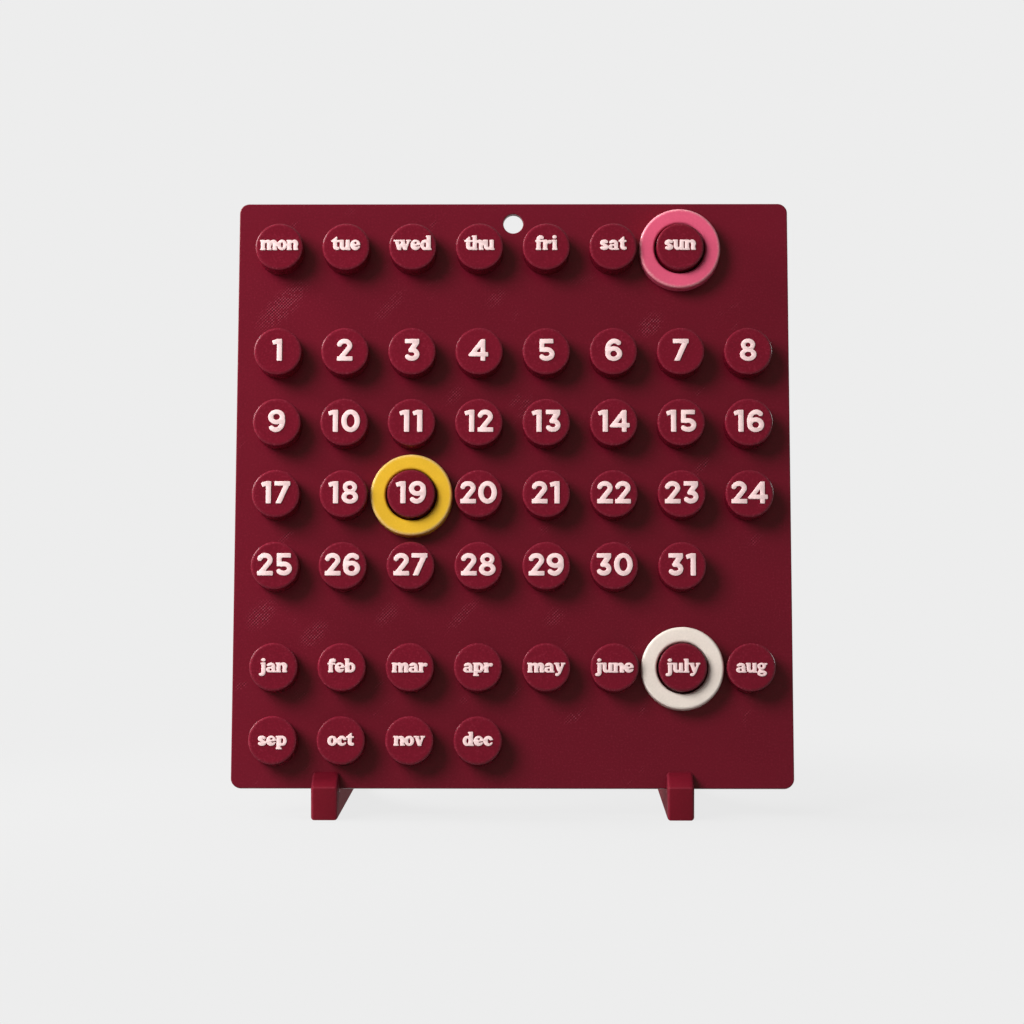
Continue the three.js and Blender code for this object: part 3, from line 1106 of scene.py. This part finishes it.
def square(across, up, width, turn):
    """The corners of a square, anticlockwise for a turn of 1 and clockwise for -1."""
    half = width / 2
    corners = [(-half, -half), (half, -half), (half, half), (-half, half)]
    return [(across + x, up + y) for x, y in corners][::turn]


def make_panel():
    """The plate with its nail hole and a blind square socket behind each peg."""
    half, radius = PANEL_WIDTH / 2, PANEL_CORNER_RADIUS
    corners = [(half - radius, radius, -90), (half - radius, PANEL_HEIGHT - radius, 0),
               (radius - half, PANEL_HEIGHT - radius, 90), (radius - half, radius, 180)]
    outline = []
    for across, up, start in corners:
        outline += arc_points(across, up, radius, start, CORNER_STEPS)
    hole_up = PANEL_HEIGHT - NAIL_HOLE_DROP
    hole = arc_points(0, hole_up, NAIL_HOLE_RADIUS, 0, HOLE_STEPS, -360)[:-1]
    sockets = [square(*seat_of(node)[:2], SOCKET_WIDTH, -1) for node in PEG_NODES]
    levels = rounded_levels(-PANEL_THICKNESS, 0, PANEL_EDGE_ROUND, PANEL_ROUND_STEPS)
    vertices, faces = prism([outline, hole], levels, sockets, SOCKET_DEPTH)
    mesh = new_mesh("panel_plate", vertices, faces, panel_plastic())
    plate = show("panel_plate", mesh, on_panel(0, 0, 0), "panel")
    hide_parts("panel")


def peg_mesh(radius, top, material):
    """A round button whose face rolls over softly to its wall, and the square stud that goes into the
    panel."""
    profile = [(0, PEG_SEAT), (radius, PEG_SEAT)]
    for step in range(PEG_EDGE_STEPS + 1):
        angle = math.pi / 2 * step / PEG_EDGE_STEPS
        profile.append((radius - PEG_EDGE_REACH * (1 - math.cos(angle)),
                        top - PEG_EDGE_DROP * (1 - math.sin(angle))))
    profile += [(radius - PEG_EDGE_REACH - EDGE_BAND, top), (0, top)]
    vertices, faces = lathe(profile, PEG_STEPS)
    stud, stud_faces = prism([square(0, 0, STUD_WIDTH, 1)], [(0, -STUD_DEPTH), (0, PEG_SEAT)])
    faces += [[len(vertices) + index for index in face] for face in stud_faces]
    return new_mesh("peg_button", vertices + stud, faces, material)


def make_pegs():
    """Fifty pegs of one mesh, each with its own lettering."""
    _, _, _, top, radius = seat_of(PEG_NODES[0])
    mesh = peg_mesh(radius, top, round_plastic("peg_plastic", PEG_RED, radius, top, PEG_FINISH))
    letter_material = letter_plastic()
    for node in PEG_NODES:
        across, up, _, top, _ = seat_of(node)
        button = show(node + "_button", mesh, on_panel(across, up, 0), "panel")
        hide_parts(node)
        make_lettering(node, across, up, top, letter_material)


def make_lettering(node, across, up, top, material):
    """The number or word on a peg, as one low raised piece."""
    text = node.split("_")[-1].lstrip("0")
    if text.isdigit():
        field, lift = word_field(text, NUMERALS, CAP_HEIGHT, 1, NUMERAL_GAP), NUMBER_LIFT
    elif up > PANEL_HEIGHT / 2:
        field, lift = word_field(text, LETTERS, WEEKDAY_HEIGHT, 1, WORD_GAP), WEEKDAY_LIFT
    else:
        field, lift = word_field(text, LETTERS, MONTH_HEIGHT, MONTH_STRETCH, WORD_GAP), MONTH_LIFT
    high_end = rounded_end(LETTER_RISE, -1, LETTER_EDGE_ROUND, LETTER_ROUND_STEPS)
    vertices, faces = prism(outlines(*field), [(0, -LETTER_SINK)] + high_end[::-1])
    mesh = new_mesh("lettering_" + text, vertices, faces, material)
    show("lettering_" + text, mesh, on_panel(across, up + lift, top), "panel")


def make_ring(node, colour):
    """A flat hoop with rounded edges."""
    across, up, back, front, outer = seat_of(node)
    inner, thickness = outer - RING_BAND, front - back
    profile = [(inner, 0)]
    profile += arc_points(outer - RING_BACK_ROUND, RING_BACK_ROUND, RING_BACK_ROUND, -90,
                          RING_BACK_STEPS)
    profile += arc_points(outer - RING_OUTER_ROUND, thickness - RING_OUTER_ROUND, RING_OUTER_ROUND, 0,
                          RING_ROUND_STEPS)
    profile.append((outer - RING_OUTER_ROUND - EDGE_BAND, thickness))
    profile.append((inner + RING_INNER_ROUND + EDGE_BAND, thickness))
    profile += arc_points(inner + RING_INNER_ROUND, thickness - RING_INNER_ROUND, RING_INNER_ROUND, 90,
                          RING_ROUND_STEPS)
    profile.append((inner, 0))
    vertices, faces = lathe(profile, RING_STEPS)
    material = round_plastic(node + "_plastic", colour, outer, thickness, RING_FINISH)
    mesh = new_mesh(node + "_hoop", vertices, faces, material)
    hoop = show(node + "_hoop", mesh, on_panel(across, up, back), node)
    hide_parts(node)


def beside_panel(in_front, up_face):
    """A place beside the panel, as distances back and up from the lower edge of its face."""
    sin, cos = UP.y, UP.z
    return Vector((up_face * sin - in_front * cos, up_face * cos + in_front * sin))


def bend(start, corner, end, steps):
    """A curve that leaves start towards the corner and comes to end from it."""
    shares = [step / steps for step in range(steps + 1)]
    return [start * (1 - t) ** 2 + corner * 2 * t * (1 - t) + end * t ** 2 for t in shares]


def round_corner(before, corner, after, radius, steps=HEEL_STEPS):
    start = corner + (before - corner).normalized() * radius
    end = corner + (after - corner).normalized() * radius
    return bend(start, corner, end, steps)


def foot_outline(length):
    """The side of a foot: a crowned lip before the panel, the slot that takes its lower edge, an arm up
    its back, and a sweep from the arm down to the heel."""
    behind = -(PANEL_THICKNESS + FOOT_GAP)
    desk = -PANEL_RISE
    heel = length - LIP_REACH
    toe = Vector((-LIP_REACH, desk))
    crease = Vector((-LIP_REACH, CREASE_RISE))
    lip_top = beside_panel(FOOT_GAP, LIP_GRIP)
    slot_front = beside_panel(FOOT_GAP, -FOOT_GAP)
    slot_back = beside_panel(behind, -FOOT_GAP)
    arm_front = beside_panel(behind, ARM_HEIGHT)
    arm_back = beside_panel(behind - ARM_THICKNESS, ARM_HEIGHT)
    arm_base = beside_panel(behind - ARM_THICKNESS, 0)
    heel_low = Vector((heel, desk))
    heel_top = Vector((heel, desk + HEEL_HEIGHT))
    sweep = Vector((arm_base.x + ARM_THICKNESS, desk + HEEL_HEIGHT + ARM_THICKNESS))
    crown = (lip_top + crease) / 2 + Vector((0, 2 * LIP_CROWN))
    outline = [toe]
    outline += round_corner(toe, heel_low, heel_top, HEEL_ROUND)
    outline += round_corner(heel_low, heel_top, sweep, HEEL_ROUND)
    sweep_end = arm_back + (sweep - arm_back).normalized() * ARM_TIP_ROUND
    outline += bend(outline[-1], sweep, sweep_end, SWEEP_STEPS)[1:]
    outline += round_corner(sweep, arm_back, arm_front, ARM_TIP_ROUND)[1:]
    outline += [arm_front, slot_back, slot_front]
    lip = bend(lip_top, crown, crease, LIP_STEPS)
    outline += lip[:-1]
    outline += round_corner(lip[-2], crease, toe, CREASE_ROUND, CREASE_STEPS)
    return [tuple(point) for point in outline]


def make_foot(node):
    """A foot as its outline gives it, lying on its side and then turned upright across the panel."""
    low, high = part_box(node)
    half = (high.x - low.x) / 2
    levels = rounded_levels(-half, half, FOOT_EDGE_ROUND, FOOT_ROUND_STEPS)
    vertices, faces = prism([foot_outline(high.y - low.y)], levels)
    mesh = new_mesh(node + "_bracket", vertices, faces, foot_plastic(half))
    origin = Vector(((low.x + high.x) / 2, low.y + LIP_REACH, PANEL_RISE))
    matrix = placed(origin, Vector((0, 1, 0)), Vector((0, 0, 1)), Vector((1, 0, 0)))
    bracket = show(node + "_bracket", mesh, matrix, node)
    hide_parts(node)


# The studio

def aimed(direction):
    """The turn that a camera or a lamp needs to point in a direction."""
    return direction.to_track_quat("-Z", "Y").to_euler()


def make_camera():
    camera = add_object("camera", bpy.data.cameras.new("camera"))
    camera.data.sensor_width = SENSOR_WIDTH
    camera.data.lens = SENSOR_WIDTH * FOCAL_PIXELS / IMAGE_WIDTH
    camera.data.clip_start = NEAREST_SEEN
    camera.data.clip_end = FURTHEST_SEEN
    yaw, pitch = math.radians(CAMERA_YAW), math.radians(CAMERA_PITCH)
    level = math.cos(pitch)
    camera.location = CAMERA_PLACE
    camera.rotation_euler = aimed(Vector((math.sin(yaw) * level, math.cos(yaw) * level,
                                          -math.sin(pitch))))
    bpy.context.scene.camera = camera


def make_lamp(name, place, size, watts, mirrored):
    """A round lamp that points at the middle of the panel."""
    lamp = bpy.data.lights.new(name, "AREA")
    lamp.shape = "DISK"
    lamp.size = size
    lamp.energy = watts
    holder = add_object(name, lamp)
    holder.location = place
    holder.rotation_euler = aimed(PANEL_MIDDLE - Vector(place))
    holder.visible_glossy = mirrored


def make_world():
    """Dim even light for the object, and the pale background where the camera looks past it or a
    surface mirrors it."""
    world = bpy.data.worlds.new("studio")
    bpy.context.scene.world = world
    shader = Shader(world)
    light = shader.glow("ShaderNodeBackground", WHITE, FILL_LEVEL)
    backdrop = shader.glow("ShaderNodeBackground", BACKGROUND_GREY, 1)
    shader.show_mix(shader.seen(), light, backdrop, "Background", "World Output")


def floor_paper():
    """A pale floor of the background's own colour, which keeps a faint shadow near the object and
    throws little light back up."""
    shader = Shader(bpy.data.materials.new("floor_paper"))
    _, x, y, _ = shader.axes()
    near = shader.near(shader.reach(x, y), SHADOW_REACH, SHADOW_FADE)
    paper = shader.node("ShaderNodeBsdfDiffuse", 0, {"Color": linear(FLOOR_GREY)})
    glow = shader.glow("ShaderNodeEmission", BACKGROUND_GREY, near * FLOOR_LIFT + 1)
    share = shader.seen() * (1 - near * SHADOW_SHARE)
    shader.show_mix(share, paper, glow, "Principled BSDF", "Material Output")
    return shader.owner


def make_floor():
    points = arc_points(0, 0, FLOOR_RADIUS, 0, FLOOR_STEPS, 360)[:-1]
    vertices = [(x, y, 0) for x, y in points]
    mesh = new_mesh("floor", vertices, [list(range(FLOOR_STEPS))], floor_paper())
    floor = add_object("floor", mesh)
    floor.location.z = -FLOOR_DROP


make_camera()
make_world()
make_floor()
for name, (place, size, watts, mirrored) in LAMPS.items():
    make_lamp(name, place, size, watts, mirrored)
make_panel()
make_pegs()
for node, (colour, slot) in RINGS.items():
    make_ring(node, colour)
make_foot("foot_left")
make_foot("foot_right")
bpy.context.scene.view_settings.view_transform = "Standard"
